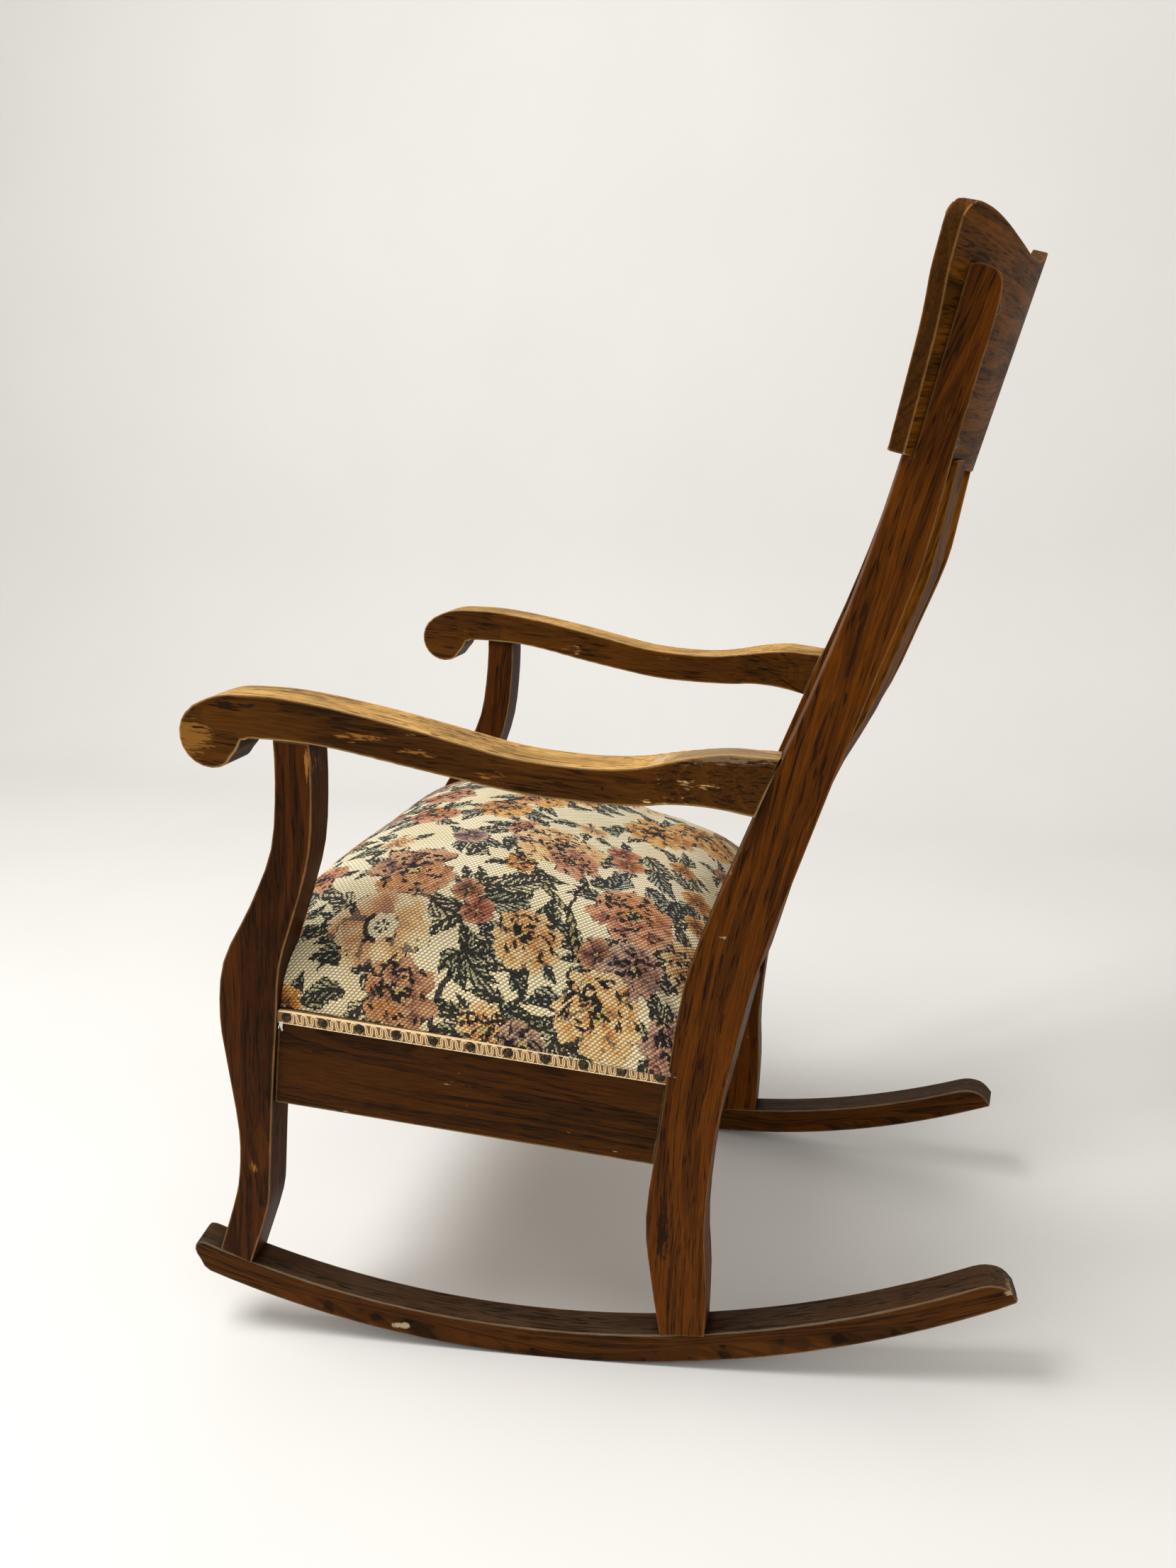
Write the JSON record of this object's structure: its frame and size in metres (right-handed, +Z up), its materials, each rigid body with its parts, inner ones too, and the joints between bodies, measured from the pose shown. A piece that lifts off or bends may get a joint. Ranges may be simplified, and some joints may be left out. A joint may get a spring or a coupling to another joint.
{
  "type": "upholstered rocking armchair",
  "caption": "Bent oak rocking armchair on two curved rockers, with scrolled arms, a bowed slat back and a sprung, stuffed seat in floral tapestry with nailed gimp",
  "frame": {"origin": "On the floor, at the middle of the footprint's bounding box; the rockers touch the floor 30 mm in front of it", "axes": "+Z up; the chair faces -Y; +X is the sitter's left, and the chair is the same on both sides of X = 0"},
  "size_m": [0.7, 0.7648, 0.995],
  "materials": {
    "walnut_oak": "satin",
    "worn_oak": "satin, worn",
    "raw_hardwood": "raw",
    "dark_steel": "dull",
    "spring_steel": "dull",
    "jute_webbing": "coarse weave",
    "cotton_felt": "felted",
    "tapestry": "coarse tapestry weave",
    "cream_gimp": "braided",
    "antique_brass": "darkened"
  },
  "bodies": {
    "root": {"left_rocker": "walnut_oak", "right_rocker": "walnut_oak", "left_front_post": "walnut_oak", "right_front_post": "walnut_oak", "left_back_post": "walnut_oak", "right_back_post": "walnut_oak", "left_arm": "worn_oak", "right_arm": "worn_oak", "crest_rail": "walnut_oak", "lower_back_rail": "walnut_oak", "left_back_slat": "walnut_oak", "centre_back_slat": "walnut_oak", "right_back_slat": "walnut_oak", "left_seat_rail": "walnut_oak", "right_seat_rail": "walnut_oak", "front_seat_rail": "walnut_oak", "rear_seat_rail": "walnut_oak", "front_left_corner_block": "raw_hardwood", "front_right_corner_block": "raw_hardwood", "rear_left_corner_block": "raw_hardwood", "rear_right_corner_block": "raw_hardwood", "rocker_dowels": "raw_hardwood", "arm_dowels": "raw_hardwood", "seat_rail_dowels": "raw_hardwood", "crest_screws": "dark_steel", "arm_screws": "dark_steel", "corner_block_screws": "dark_steel", "lengthwise_webbing": "jute_webbing", "crosswise_webbing": "jute_webbing", "webbing_tacks": "dark_steel", "seat_springs": "spring_steel", "spring_burlap": "jute_webbing", "seat_stuffing": "cotton_felt", "seat_cover": "tapestry", "left_gimp": "cream_gimp", "right_gimp": "cream_gimp", "front_gimp": "cream_gimp", "rear_gimp": "cream_gimp", "left_gimp_nails": "antique_brass", "right_gimp_nails": "antique_brass", "front_gimp_nails": "antique_brass", "rear_gimp_nails": "antique_brass"}
  },
  "joints": []
}
